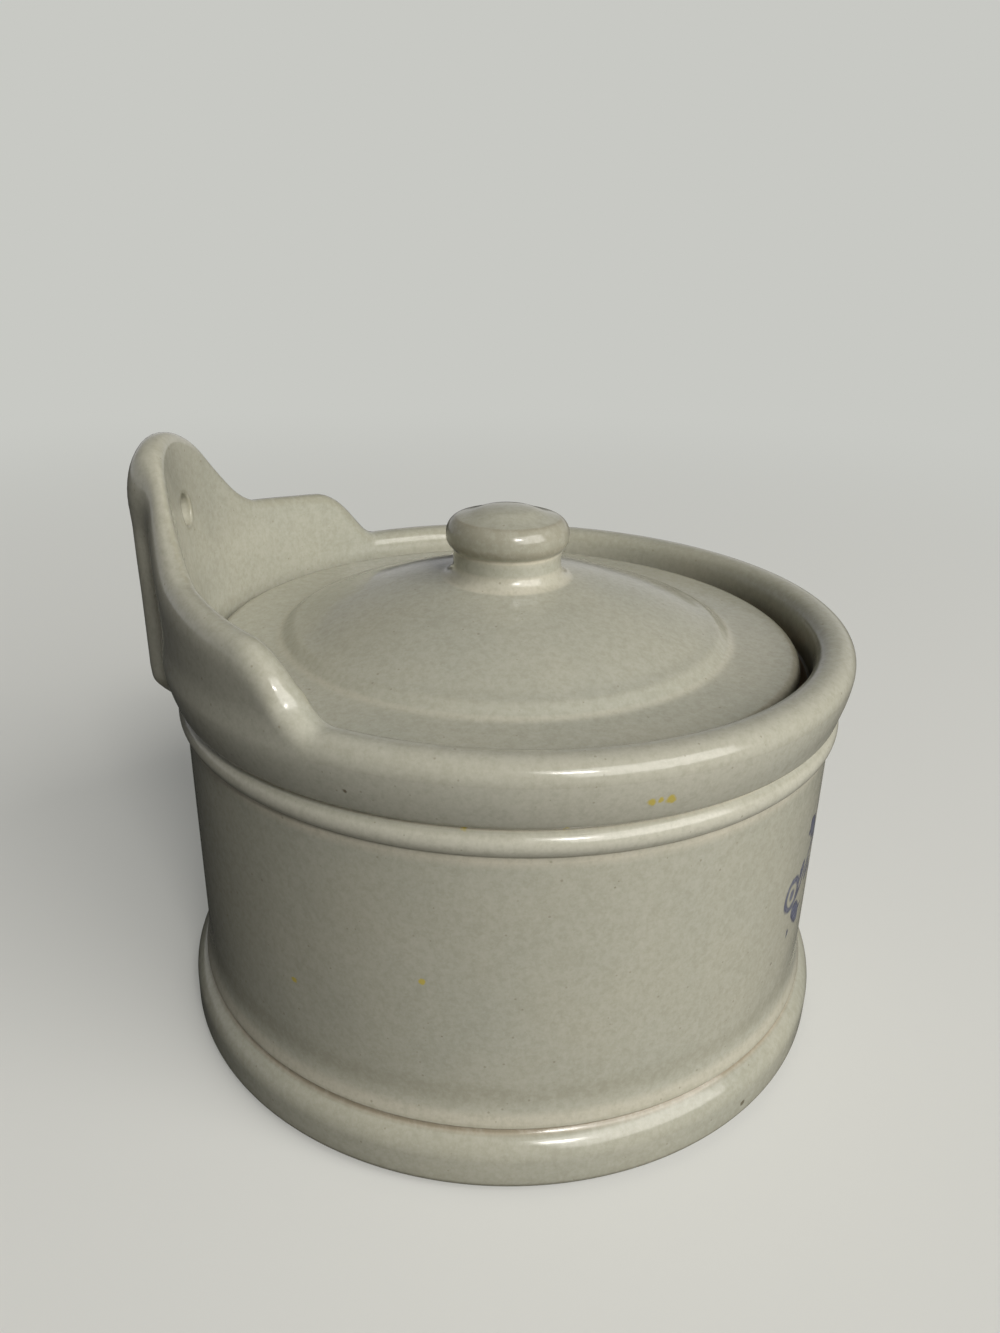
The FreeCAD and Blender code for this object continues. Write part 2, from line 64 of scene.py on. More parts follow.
# Shapes, in millimetres and degrees: heights from the foot, bearings from the back
BODY = 70.0             # straight wall
RIM = 73.5              # the rim where it is widest
MOUTH = 65.0            # inside of the rim
RIM_HEIGHT = 89.9
SWELL_HEIGHT = 86.0     # where the rim is widest
ROLL_FOOT = 82.0        # up to here the rim is turned, above it follows its own edge
LEDGE_HEIGHT = 79.8     # seat of the lid
RECESS_HEIGHT = 1.6     # hollow under the foot
FLOOR_HEIGHT = 7.5      # floor inside
LINE_HEIGHT = 11.9      # incised line above the base band
BEAD_HEIGHT = 73.5
HOLE_HEIGHT = 110.8
HOLE_RADIUS = 3.3
HOLE_LIP = 0.5          # round of the hole's edges
LID_SEAT = 80.0         # underside of the lid's flange
LID_PLAY = 0.9          # the lid lies this far towards the back in its mouth
STEP = 0.1              # spacing of points along a path before it is thinned

# Edge of the backplate: a round peak, a notch and a shoulder on each side, and a steep side
# down to the rim. A blend is how far two of these melt into each other.
PLATE = {
    "height": 126.4, "peak_round": 22.0, "shoulder_slope": 0.1246,
    "notch_x": 28.8, "notch_height": 105.6, "notch_blend": 5.0,
    "left": 54.7, "right": 53.4, "end": 75.0, "side_slope": 49.0, "side_rise": 7.1,
    "knee_blend": 5.5, "foot_blend": 3.2,
}

# The back of the wall is a little flat from the rim up, and the plate leans out
BACK = {"flat": 0.7, "flat_from": 84.0, "flat_to": 92.0, "lean": 0.035, "lean_from": 90.0}
INSIDE = {"mouth_lean": 5.0, "plate_lean": 7.2, "lean_from": 86.5, "blend": 2.0}

# Flat pad on the back of the plate, which melts further into the plate near the peak
PAD = {
    "foot": 66.0, "bearing": 17.0, "half_width": 11.4, "corner": 4.4,
    "join": 2.6, "peak_join": 5.0, "peak_from": 104.0, "peak_to": 118.0,
}
PAD_FACE = [            # height and distance from the axis
    (66.0, 60.0), (72.5, 67.0), (73.0, 72.6), (73.4, 73.7), (74.2, 74.9), (75.2, 76.0),
    (75.9, 76.6), (76.8, 76.9), (79.0, 77.1), (95.0, 77.1), (102.6, 77.2),
]

# Roll of the edge: how far down it starts outside and inside, and where its crest lies as a
# share of the wall. Each has a value on the rim and what the tall plate or the peak adds. Its
# section is a superellipse, and its inner start is given for the rim's own wall.
ROLL = {
    "outside": 3.9, "outside_plate": 3.4, "outside_peak": 5.0, "inside": 3.4, "inside_plate": -0.8,
    "crest": 0.52, "crest_plate": 0.2, "roundness": 2.35, "rim_wall": 8.5,
}
WALL_ROWS = 40          # rows from the turned rim up to the roll, and down to the ledge inside
ROLL_ROWS = 27

# Block of columns and rows that the hole takes: degrees to each side, millimetres down and up
HOLE_BLOCK = {"bearing": 4.9, "outside": (6.2, 6.0), "inside": (6.4, 5.8)}

# What hand work left: a flat on the rim, left of the front, and a dent at the plate's left knee
RIM_FLAT = {"bearing": -2.75, "depth": 0.45}        # this bearing is in radians
KNEE_DENT = {"bearing": -57.0, "height": 94.0, "depth": 1.0, "reach": 2.1}


def arc_radius(run, rise):
    """Radius of an arc that is level at one end and rises so far over its run."""
    return (run**2 + rise**2) / (2 * rise)


def arc(start, end, radius, turn):
    """Points along an arc from start to end, turning left for +1 and right for -1."""
    start, end = np.array(start, float), np.array(end, float)
    chord = end - start
    half = np.hypot(*chord) / 2
    left = np.array([-chord[1], chord[0]]) / (2 * half)
    centre = (start + end) / 2 + left * math.sqrt(max(radius**2 - half**2, 0.0)) * turn
    first = math.atan2(*(start - centre)[::-1])
    last = math.atan2(*(end - centre)[::-1])
    if turn > 0 and last < first:
        last += 2 * math.pi
    if turn < 0 and last > first:
        last -= 2 * math.pi
    count = max(int(abs(last - first) * radius / STEP), 2)
    angle = np.linspace(first, last, count, endpoint=False)
    return centre + radius * np.stack([np.cos(angle), np.sin(angle)], 1)


def outline(corners):
    """Dense open path through corners, each (x, y) or (x, y, radius, turn) before an arc."""
    parts = []
    for corner, following in zip(corners, corners[1:]):
        start, end = np.array(corner[:2], float), np.array(following[:2], float)
        if len(corner) == 4:
            parts.append(arc(start, end, corner[2], corner[3]))
        else:
            count = max(int(np.hypot(*(end - start)) / STEP), 2)
            share = np.linspace(0, 1, count, endpoint=False)[:, None]
            parts.append(start + (end - start) * share)
    parts.append(np.array([corners[-1][:2]], float))
    return np.concatenate(parts)


def even(path):
    """The same path with its points an even step apart."""
    along = np.concatenate([[0], np.cumsum(np.hypot(*np.diff(path, axis=0).T))])
    places = np.linspace(0, along[-1], max(int(along[-1] / STEP), 2) + 1)
    return np.stack([np.interp(places, along, path[:, axis]) for axis in (0, 1)], 1)


def soften(path, reach):
    """Melt the corners of a path as glaze does, with its two ends kept."""
    width = int(4 * reach / STEP)
    bell = np.exp(-0.5 * (np.arange(-width, width + 1) * STEP / reach) ** 2)
    bell /= bell.sum()
    result = []
    for column in even(path).T:
        before = 2 * column[0] - column[width:0:-1]
        after = 2 * column[-1] - column[-2:-width - 2:-1]
        result.append(np.convolve(np.concatenate([before, column, after]), bell, "valid"))
    return np.stack(result, 1)


def thin(path, gap, turn=4.0):
    """Keep a point after each gap or turn in degrees: few on straight runs, more on bends."""
    heading = np.unwrap(np.arctan2(*np.diff(path, axis=0).T[::-1]))
    run = np.hypot(*np.diff(path, axis=0).T)
    kept, far, turned = [0], 0.0, 0.0
    for place in range(1, len(path) - 1):
        far += run[place - 1]
        turned += abs(heading[place] - heading[place - 1])
        if far >= gap or turned >= math.radians(turn):
            kept.append(place)
            far = turned = 0.0
    kept.append(len(path) - 1)
    return path[kept]


def ease(value, low, high):
    """From 0 at low to 1 at high, level at both ends."""
    share = np.clip((np.asarray(value, float) - low) / (high - low), 0, 1)
    return share * share * (3 - 2 * share)


def soft_min(first, second, width):
    """The lesser of two, rounded where they are closer than the width."""
    blend = np.maximum(width - np.abs(first - second), 0) / width
    return np.minimum(first, second) - blend * blend * width / 4


def soft_max(first, second, width):
    return -soft_min(-first, -second, width)


def plate_top(theta):
    """Height of the edge before it is rolled, at a bearing in radians."""
    peak_round, notch_x, notch_height = PLATE["peak_round"], PLATE["notch_x"], PLATE["notch_height"]
    across = RIM * np.abs(np.sin(theta))
    centre = PLATE["height"] - peak_round
    away = math.hypot(notch_x, notch_height - centre)
    tangent = math.atan2(notch_height - centre, notch_x) + math.acos(peak_round / away)
    touch_x = peak_round * math.cos(tangent)
    touch_z = centre + peak_round * math.sin(tangent)
    dome = centre + np.sqrt(np.maximum(peak_round**2 - np.minimum(across, touch_x) ** 2, 0))
    fall = (notch_height - touch_z) / (notch_x - touch_x)
    crown = np.where(across < touch_x, dome, touch_z + fall * (across - touch_x))
    shoulder = notch_height - PLATE["shoulder_slope"] * (across - notch_x)
    back = soft_max(crown, shoulder, PLATE["notch_blend"])
    bearing = np.where(theta < 0, math.radians(PLATE["left"]), math.radians(PLATE["right"]))
    turned = np.clip(np.abs(theta) - bearing, -1.2, 0.6)
    steep = math.tan(math.radians(PLATE["side_slope"]))
    side = RIM_HEIGHT + PLATE["side_rise"] - RIM * np.sin(turned) * steep
    top = soft_min(back, side, PLATE["knee_blend"])
    top = soft_max(top, RIM_HEIGHT, PLATE["foot_blend"])
    return np.where(np.abs(theta) > math.radians(PLATE["end"]), RIM_HEIGHT, top)


def shell_radius(theta, height, radius):
    """Outer wall without the pad."""
    back = ease(np.cos(theta), 0.1, 0.8)
    flat = BACK["flat"] * back * ease(height, BACK["flat_from"], BACK["flat_to"])
    lean = BACK["lean"] * np.maximum(height - BACK["lean_from"], 0) * back
    return radius - flat + lean


def pad_face(height):
    """Distance of the pad's face from the axis."""
    return np.interp(height, *zip(*PAD_FACE))


def wall_radius(theta, height, radius=RIM):
    """Outer wall with the pad standing out of its back, found along each bearing by halving."""
    theta, height = np.broadcast_arrays(np.asarray(theta, float), np.asarray(height, float))
    shell = shell_radius(theta, height, radius)
    result = np.array(shell, float)
    near = (np.abs(theta) < math.radians(PAD["bearing"])) & (height > PAD["foot"])
    turn, face, shell = theta[near], pad_face(height[near]), shell[near]
    half, corner = PAD["half_width"], PAD["corner"]
    join = PAD["join"] + PAD["peak_join"] * ease(height[near], PAD["peak_from"], PAD["peak_to"])
    low, high = shell - 3.0, shell + 12.0
    for _ in range(30):
        middle = (low + high) / 2
        x, y = np.abs(middle * np.sin(turn)), middle * np.cos(turn)
        over_x, over_y = x - half + corner, y - face + corner
        pad = np.hypot(np.maximum(over_x, 0), np.maximum(over_y, 0))
        pad += np.minimum(np.maximum(over_x, over_y), 0) - corner
        outside = soft_min(pad, middle - shell, join) > 0
        high = np.where(outside, middle, high)
        low = np.where(outside, low, middle)
    result[near] = (low + high) / 2
    return result


def inner_radius(theta, height):
    """Inner wall: nearly upright in the mouth, leaning out up the plate."""
    back = ease(np.cos(theta), 0.0, 0.8)
    mouth, plate = (math.tan(math.radians(INSIDE[key])) for key in ("mouth_lean", "plate_lean"))
    slope = mouth + back * (plate - mouth)
    above = height - INSIDE["lean_from"]
    return MOUTH + slope * (above + np.sqrt(above * above + INSIDE["blend"])) / 2


def ring(theta, radius, height):
    """One row of points at bearings round the axis."""
    return np.stack(np.broadcast_arrays(radius * np.sin(theta), radius * np.cos(theta), height), 1)


def ring_faces(first, second):
    """Quads between two closed rows of points with the same count."""
    return np.stack([first, np.roll(first, -1), np.roll(second, -1), second], 1)


def close_ends(points, grid, quads, low, high):
    """Close the first and last row round middle points at two heights; drop what isn't used."""
    middle = len(points)
    points = np.concatenate([points, [[0, 0, low], [0, 0, high]]])
    first, last, every = grid[0], grid[-1], np.ones_like(grid[0])
    triangles = np.concatenate([
        np.stack([np.roll(first, -1), first, every * middle], 1),
        np.stack([last, np.roll(last, -1), every * (middle + 1)], 1),
    ])
    used = np.union1d(quads, triangles)
    place = np.full(len(points), -1)
    place[used] = np.arange(len(used))
    return points[used], place[quads], place[triangles]


def store_edges(mesh):
    """Keep how sharply the surface bends at each point, per mm: plus on edges, minus in hollows."""
    count = len(mesh.vertices)
    place, normal = np.zeros(count * 3), np.zeros(count * 3)
    ends = np.zeros(len(mesh.edges) * 2, np.int32)
    mesh.vertices.foreach_get("co", place)
    mesh.vertices.foreach_get("normal", normal)
    mesh.edges.foreach_get("vertices", ends)
    place, normal = place.reshape(-1, 3) * 1000, normal.reshape(-1, 3)
    one, two = ends.reshape(-1, 2).T
    apart = place[one] - place[two]
    square = np.maximum(np.sum(apart * apart, 1), 1e-6)
    bend = np.sum((normal[one] - normal[two]) * apart, 1) / square
    around = np.bincount(one, minlength=count) + np.bincount(two, minlength=count)

    def gather(first, second):
        """Mean over the edges round each point."""
        total = np.bincount(one, first, count) + np.bincount(two, second, count)
        return total / np.maximum(around, 1)

    value = np.clip(gather(bend, bend), -0.5, 0.5)
    for _ in range(5):
        value = (value + gather(value[two], value[one])) / 2
    mesh.attributes.new("edge", "FLOAT", "POINT").data.foreach_set("value", value)


def make_mesh(name, points, quads, triangles):
    mesh = bpy.data.meshes.new(name)
    mesh.from_pydata((points * 0.001).tolist(), [], quads.tolist() + triangles.tolist())
    mesh.update()
    mesh.polygons.foreach_set("use_smooth", [True] * len(mesh.polygons))
    store_edges(mesh)
    piece = bpy.data.objects.new(name, mesh)
    bpy.context.scene.collection.objects.link(piece)
    return piece


def column_bearings():
    """Bearings from the back, closer together where the plate and the pad need it."""
    fine = np.linspace(-math.pi, math.pi, 20001)
    side = np.degrees(np.abs(fine))
    spacing = np.where(side < 14, 0.30, np.where(side < 68, 0.55, 0.9))     # in millimetres
    spacing = np.where(np.abs(side - 9.2) < 1.6, 0.16, spacing)     # at the pad's upright edges
    steep = np.gradient(plate_top(fine), fine) / RIM
    density = np.sqrt(1 + steep**2) * RIM / spacing
    total = np.concatenate([[0], np.cumsum((density[1:] + density[:-1]) / 2 * np.diff(fine))])
    count = int(total[-1] / 2) * 2
    return np.interp(np.linspace(0, total[-1], count + 1)[:-1], total, fine)


def crock_outside():
    """Radius and height from the middle of the foot out and up to the rim's widest ring."""
    flare, bead = arc_radius(6.5, 1.2), arc_radius(2.4, 1.4)
    path = soften(outline([
        (3.0, RECESS_HEIGHT), (59.8, RECESS_HEIGHT), (61.0, 0.0), (71.6, 0.0, 2.2, 1), (73.8, 2.2),
        (73.8, 6.4, 5.4, 1), (70.9, 11.25), (70.3, LINE_HEIGHT), (71.2, 12.8, flare, -1),
        (BODY, 19.45), (BODY, 71.1, bead, 1), (71.4, BEAD_HEIGHT, bead, 1), (BODY, 75.9),
        (69.4, 76.4), (70.6, 76.9, 2.2, 1), (71.7, 78.3, 26.0, 1), (RIM, SWELL_HEIGHT),
    ]), 0.16)
    path[:, 1] = np.maximum(path[:, 1], 0.0)
    return path


def crock_inside():
    """Radius and height from the ledge down to the middle of the floor."""
    path = outline([
        (MOUTH, LEDGE_HEIGHT), (60.0, LEDGE_HEIGHT), (60.0, 73.8), (62.5, 67.8),
        (62.5, 16.5, 9.0, -1), (53.5, FLOOR_HEIGHT), (3.0, FLOOR_HEIGHT),
    ])
    return thin(soften(path, 0.3), 3.0)


def rolled_edge(theta, swell):
    """Rows up the outside of the rim and plate, and rows over their rolled edge.

    The columns lean along the outline's own direction, so the roll is even round the scallops.
    """
    top = plate_top(theta)
    fine = np.linspace(-math.pi, math.pi, 14001)
    slope = np.interp(theta, fine, np.gradient(plate_top(fine), fine) / RIM)
    run = np.sqrt(1 + slope**2)
    out_u, out_z = -slope / run, 1 / run
    # towards the back the wall is crossed along Y instead of towards the axis
    cut = np.clip((np.abs(theta) - math.radians(24)) / math.radians(16), 0, 1)

    def place(inset, share):
        """Points at an inset from the outline and a share of the way through the wall."""
        angle = theta - inset * out_u / RIM
        height = top - inset * out_z
        outer = wall_radius(angle, height)
        x, y = outer * np.sin(angle), outer * np.cos(angle)
        way = angle * cut
        dx, dy = np.sin(way), np.cos(way)
        inner = inner_radius(angle, height)
        along = x * dx + y * dy
        depth = along - np.sqrt(np.maximum(along**2 - (x * x + y * y - inner**2), 0))
        return np.stack([x - depth * share * dx, y - depth * share * dy, height], 1), depth

    tall = ease(top - RIM_HEIGHT, 3.0, 20.0)
    peak = 1 - ease(np.abs(theta), math.radians(8), math.radians(20))
    crest = ROLL["crest"] + ROLL["crest_plate"] * tall
    drop_out = ROLL["outside"] + ROLL["outside_plate"] * tall + ROLL["outside_peak"] * peak
    _, thick = place(3.0, 0.0)
    drop_in = (ROLL["inside"] + ROLL["inside_plate"] * tall) * (thick / ROLL["rim_wall"]) ** 0.7

    start_angle = theta - drop_out * out_u / RIM
    start_height = top - drop_out * out_z
    wall = []
    for share in np.arange(1, WALL_ROWS) / WALL_ROWS:
        angle = theta + (start_angle - theta) * share
        height = ROLL_FOOT + (start_height - ROLL_FOOT) * share
        radius = np.interp(height, swell[:, 1], swell[:, 0])
        wall.append(ring(angle, wall_radius(angle, height, radius), height))

    roll = []
    power = 2 / ROLL["roundness"]
    for turn in np.linspace(0, math.pi, ROLL_ROWS):
        level = math.sin(turn) ** power
        side = abs(math.cos(turn)) ** power
        if turn < math.pi / 2:
            points, _ = place(drop_out * (1 - level), crest * (1 - side))
        else:
            points, _ = place(drop_in * (1 - level), crest + (1 - crest) * side)
        roll.append(points)
    return wall, roll


def mouth_wall(theta, edge):
    """Rows from the roll's inner edge down to the ledge."""
    start = np.arctan2(edge[:, 0], edge[:, 1])
    start = theta + (start - theta + math.pi) % (2 * math.pi) - math.pi
    rows = []
    for share in np.arange(1, WALL_ROWS) / WALL_ROWS:
        angle = start + (theta - start) * share
        height = edge[:, 2] + (LEDGE_HEIGHT - edge[:, 2]) * share
        rows.append(ring(angle, inner_radius(angle, height), height))
    return rows + [ring(theta, MOUTH, LEDGE_HEIGHT)]


def hole_rings(outer_edge, inner_edge):
    """Rings of points from the block's edge on the pad through the hole to the one inside."""
    angle = np.arctan2(outer_edge[:, 0], outer_edge[:, 2] - HOLE_HEIGHT)

    def circle(radius):
        return radius * np.sin(angle), HOLE_HEIGHT + radius * np.cos(angle)

    def front_face(x, z):
        bearing = np.arctan2(x, 68.0)
        return np.sqrt(inner_radius(bearing, z) ** 2 - x * x)

    rings = []
    lip_x, lip_z = circle(HOLE_RADIUS + HOLE_LIP)
    for share in np.linspace(0, 1, 7)[1:]:
        x = outer_edge[:, 0] + (lip_x - outer_edge[:, 0]) * share
        z = outer_edge[:, 2] + (lip_z - outer_edge[:, 2]) * share
        rings.append((x, pad_face(z), z))
    bends = np.linspace(0, math.pi / 2, 8)[1:]
    for bend in bends:
        x, z = circle(HOLE_RADIUS + HOLE_LIP * (1 - math.sin(bend)))
        rings.append((x, pad_face(z) - HOLE_LIP * (1 - math.cos(bend)), z))
    x, z = circle(HOLE_RADIUS)
    from_y = pad_face(z) - HOLE_LIP
    to_y = front_face(x, z) + HOLE_LIP
    for share in np.linspace(0, 1, 9)[1:]:
        rings.append((x, from_y + (to_y - from_y) * share, z))
    for bend in bends[::-1][1:]:
        x, z = circle(HOLE_RADIUS + HOLE_LIP * (1 - math.sin(bend)))
        rings.append((x, front_face(x, z) + HOLE_LIP * (1 - math.cos(bend)), z))
    for share in np.linspace(0, 1, 7)[:-1]:
        x = lip_x + (inner_edge[:, 0] - lip_x) * share
        z = lip_z + (inner_edge[:, 2] - lip_z) * share
        rings.append((x, front_face(x, z), z))
    return [np.stack(one, 1) for one in rings]


def join_rows(points, grid, theta, wall_span, mouth_span):
    """Quads between the rows, with the hanging hole through a block of them on both faces.

    The spans are the first and last rows of the wall outside and of the mouth's wall inside.
    """
    middle = int(np.argmin(np.abs(theta)))
    half = int(np.sum((theta > 0) & (theta < math.radians(HOLE_BLOCK["bearing"]))))
    left, right = middle - half, middle + half

    def block(span, face):
        first, last = span
        below, above = HOLE_BLOCK[face]
        heights = points[grid[first:last + 1, middle], 2]
        near = (heights > HOLE_HEIGHT - below) & (heights < HOLE_HEIGHT + above)
        rows = np.nonzero(near)[0] + first
        return rows[0], rows[-1]

    def border(low, high):
        """Indices round a block, starting at its lower left and going right."""
        up = 1 if high > low else -1
        return np.concatenate([
            grid[low, left:right], grid[np.arange(low, high, up), right],
            grid[high, right:left:-1], grid[np.arange(high, low, -up), left],
        ])

    out_low, out_high = block(wall_span, "outside")
    in_high, _ = block(mouth_span, "inside")        # rows run down inside
    in_low = in_high + out_high - out_low
    keep = np.ones((len(grid) - 1, len(theta)), bool)
    keep[out_low:out_high, left:right] = False
    keep[in_high:in_low, left:right] = False
    quads = [ring_faces(one, two)[kept] for one, two, kept in zip(grid, grid[1:], keep)]

    loops = [border(out_low, out_high), border(in_low, in_high)]
    for one in hole_rings(points[loops[0]], points[loops[1]]):
        loops.insert(-1, np.arange(len(points), len(points) + len(one)))
        points = np.concatenate([points, one])
    quads += [ring_faces(one, two) for one, two in zip(loops, loops[1:])]
    return points, np.concatenate(quads)


def make_crock_mesh():
    """Rows up the outside, over the rolled edge, down the inside and in to the floor's middle."""
    theta = column_bearings()
    outside = crock_outside()
    turned = thin(outside[outside[:, 1] < ROLL_FOOT], 1.6)
    rows = [ring(theta, wall_radius(theta, height, radius), height) for radius, height in turned]
    wall, roll = rolled_edge(theta, outside[outside[:, 1] > ROLL_FOOT - 1])
    wall_span = len(rows) - 1, len(rows) + len(wall)
    rows += wall + roll
    mouth = mouth_wall(theta, rows[-1])
    mouth_span = len(rows) - 1, len(rows) + len(mouth) - 1
    rows += mouth
    rows += [ring(theta, radius, height) for radius, height in crock_inside()[1:]]
    points = np.concatenate(rows)
    grid = np.arange(len(points)).reshape(len(rows), len(theta))
    points, quads = join_rows(points, grid, theta, wall_span, mouth_span)
    return close_ends(points, grid, quads, RECESS_HEIGHT, FLOOR_HEIGHT)


def lid_path():
    """Radius and height above the seat: under the lid, round its flange and up to the knob."""
    path = soften(outline([
        (0.6, 11.4), (15.7, 11.4), (54.4, 0.0), (54.4, -3.5), (58.4, -3.5), (58.4, 0.0),
        (61.9, 0.0, 1.6, 1), (63.5, 1.6), (63.5, 2.4, 2.4, 1), (61.1, 4.8), (50.4, 5.55, 4.2, -1),
        (47.25, 6.95, 4.2, 1), (44.1, 8.35, 112.0, 1), (15.0, 17.1, 3.4, -1),
        (11.6, 20.0), (11.6, 23.4, 3.0, 1), (13.2, 26.3, 3.9, 1), (11.1, 30.1),
        (8.8, 30.7), (5.5, 31.9), (3.0, 32.3), (0.6, 32.4),
    ]), 0.28)
    # on the upper side, the step melts into the flange and the dome
    brim = int(np.argmax(path[:, 0]))
    over = brim + np.nonzero((path[brim:, 0] < 60.0) & (path[brim:, 0] > 20.0))[0]
    reach, rise = path[over].T
    melted = soften(path[over], 0.8)
    order = np.argsort(melted[:, 0])
    share = ease(reach, 24.0, 34.0) * (1 - ease(reach, 56.0, 59.0))
    path[over, 1] += (np.interp(reach, melted[order, 0], melted[order, 1]) - rise) * share
    path = thin(path, 1.2, 4.5)
    path[0, 0] = path[-1, 0] = 0.6
    return path


def make_lid_mesh():
    theta = np.linspace(-math.pi, math.pi, 360, endpoint=False)
    radii, heights = lid_path().T
    heights = heights + LID_SEAT
    rows = [ring(theta, radius, height) for radius, height in zip(radii, heights)]
    points = np.concatenate(rows)
    grid = np.arange(len(points)).reshape(len(rows), len(theta))
    quads = np.concatenate([ring_faces(one, two) for one, two in zip(grid, grid[1:])])
    points, quads, triangles = close_ends(points, grid, quads, heights[0], heights[-1])
    points[:, 1] += LID_PLAY
    return points, quads, triangles


def hand_made(points, amount):
    """The slight unevenness of a pot made by hand: no ring is a perfect circle."""
    x, y, z = points.T
    bearing, reach = np.arctan2(x, y), np.hypot(x, y)
    swell = 0.10 * np.sin(2 * bearing + 0.7) + 0.06 * np.sin(3 * bearing - 1.1 + z / 40)
    swell += 0.035 * np.sin(5 * bearing + z / 17)
    facing = np.maximum(np.cos(bearing - RIM_FLAT["bearing"]), 0) ** 6
    swell -= RIM_FLAT["depth"] * facing * ease(z, 76.0, 80.0) * ease(reach, 68.0, 72.0)
    along = (bearing - math.radians(KNEE_DENT["bearing"])) * RIM
    away = np.hypot(along, z - KNEE_DENT["height"]) / KNEE_DENT["reach"]
    swell -= KNEE_DENT["depth"] * np.exp(-(away**2)) * ease(reach, 65.0, 68.5)
    share = 1 + amount * swell / BODY * ease(z, 0.0, 6.0)
    return np.stack([x * share, y * share, z], 1)


# Node helpers
class Value:
    """A node output that can be reckoned with like a number."""

    def __init__(self, shader, socket):
        self.shader, self.socket = shader, socket

    def apply(self, kind, other=0.0):
        return self.shader.math(kind, self, other)

    def __add__(self, other):
        return self.apply("ADD", other)

    def __sub__(self, other):
        return self.apply("SUBTRACT", other)

    def __mul__(self, other):
        return self.apply("MULTIPLY", other)

    def __truediv__(self, other):
        return self.apply("DIVIDE", other)

    def __rsub__(self, other):
        return self.shader.math("SUBTRACT", other, self)

    def absolute(self):
        return self.apply("ABSOLUTE")

    def cosine(self):
        return self.apply("COSINE")

    def span(self, low, high, to_low=0.0, to_high=1.0, smooth=False):
        """Carry low..high over to to_low..to_high, and stop at both ends."""
        node = self.shader.add(
            "MapRange", Value=self, From_Min=low, From_Max=high, To_Min=to_low, To_Max=to_high,
        )
        if smooth:
            node.interpolation_type = "SMOOTHSTEP"
        return Value(self.shader, node.outputs["Result"])

    def near(self, level, core, fade, share=1.0):
        """The share as far as core from a level, falling to nothing at fade."""
        return (self - level).absolute().span(core, fade, share, 0.0)


class Shader:
    """The node tree of a material or world, with short names for adding and joining nodes."""

    def __init__(self, owner):
        owner.use_nodes = True
        self.owner, self.tree = owner, owner.node_tree

    def add(self, kind, **inputs):
        node = self.tree.nodes.new("ShaderNode" + kind)
        for key, value in inputs.items():
            self.give(node.inputs[key.replace("_", " ")], value)
        return node

    def give(self, socket, value):
        if isinstance(value, Value):
            value = value.socket
        if isinstance(value, bpy.types.NodeSocket):
            self.tree.links.new(value, socket)
        else:
            socket.default_value = value

    def set(self, socket, value):
        self.give(self.tree.nodes["Principled BSDF"].inputs[socket], value)

    def math(self, kind, first, second=0.0):
        node = self.tree.nodes.new("ShaderNodeMath")
        node.operation = kind
        self.give(node.inputs[0], first)
        self.give(node.inputs[1], second)
        return Value(self, node.outputs[0])

    def least(self, first, *others):
        for other in others:
            first = self.math("MINIMUM", first, other)
        return first

    def most(self, first, *others):
        for other in others:
            first = self.math("MAXIMUM", first, other)
        return first

    def mix(self, share, first, second):
        node = self.tree.nodes.new("ShaderNodeMix")
        node.data_type = "RGBA"
        self.give(node.inputs["Factor"], share)
        colours = [one for one in node.inputs if one.type == "RGBA"]
        self.give(colours[0], first)
        self.give(colours[1], second)
        return next(one for one in node.outputs if one.type == "RGBA")

    def noise(self, place, scale, detail=2.0, roughness=0.5):
        node = self.add("TexNoise", Vector=place, Scale=scale, Detail=detail, Roughness=roughness)
        return Value(self, node.outputs["Fac"])

    def spots(self, place, cells, radius, share):
        """Round specks of up to a radius in mm, in a share of the cells, with cells per metre."""
        node = self.add("TexVoronoi", Vector=place, Scale=cells)
        away = Value(self, node.outputs["Distance"]) * (1000.0 / cells)
        chance = Value(self, self.add("SeparateColor", Color=node.outputs["Color"]).outputs[0])
        reach = chance.span(1.0 - share, 1.0, 0.0, radius)
        return (away / self.most(reach, 0.001)).span(0.55, 1.0, 1.0, 0.0)


def length(first, second):
    return (first * first + second * second).apply("SQRT")


def around_wall(shade, x, y):
    """Millimetres along the wall from the middle of the front, to the right."""
    return shade.math("ARCTAN2", x, y * -1.0) * BODY


# Colours of the glaze, of what lies in and on it, and of the clay. Thin and pale also
# serve as painted highlight, thick and groove as painted shade
GLAZE = {
    "cool": srgb(173, 173, 159), "warm": srgb(180, 178, 162), "milky": srgb(187, 186, 174),
    "thin": srgb(206, 200, 182), "pale": srgb(206, 204, 190), "thick": srgb(150, 147, 128),
    "groove": srgb(132, 118, 96), "pale fleck": srgb(198, 196, 184),
    "dull fleck": srgb(146, 143, 125), "speck": srgb(112, 104, 82), "pit": srgb(92, 80, 60),
    "fleck": srgb(196, 176, 62), "wash": srgb(96, 102, 134), "indigo": srgb(38, 43, 82),
    "pale clay": srgb(196, 178, 146), "clay": srgb(170, 150, 118),
}

# Small marks on the crock: bearing from the front in degrees, height and radius in millimetres
FLECKS = [
    (-74.2, 81.6, 0.9), (-73.0, 81.8, 0.7), (-71.5, 81.6, 1.1), (-85.0, 76.9, 0.8),
    (-98.4, 76.4, 0.7), (-126.8, 34.9, 0.75), (-104.4, 44.2, 0.75),
]
SPECKS = [(-51.0, 4.2, 0.8), (-114.0, 81.6, 0.55)]

# Brushwork on the front wall, in millimetres along and up the wall
VINE = {
    "height": 45.5, "step": 15.0, "sway": 5.2, "reach": 45.0, "stem": 0.75,
    "curl": 3.3, "bud": 1.3, "unsteady": 1.6,
}
BLOSSOM = {"drop": 3.0, "radius": 2.2, "petals": 5.0, "petal": 0.8, "eye": 0.8}


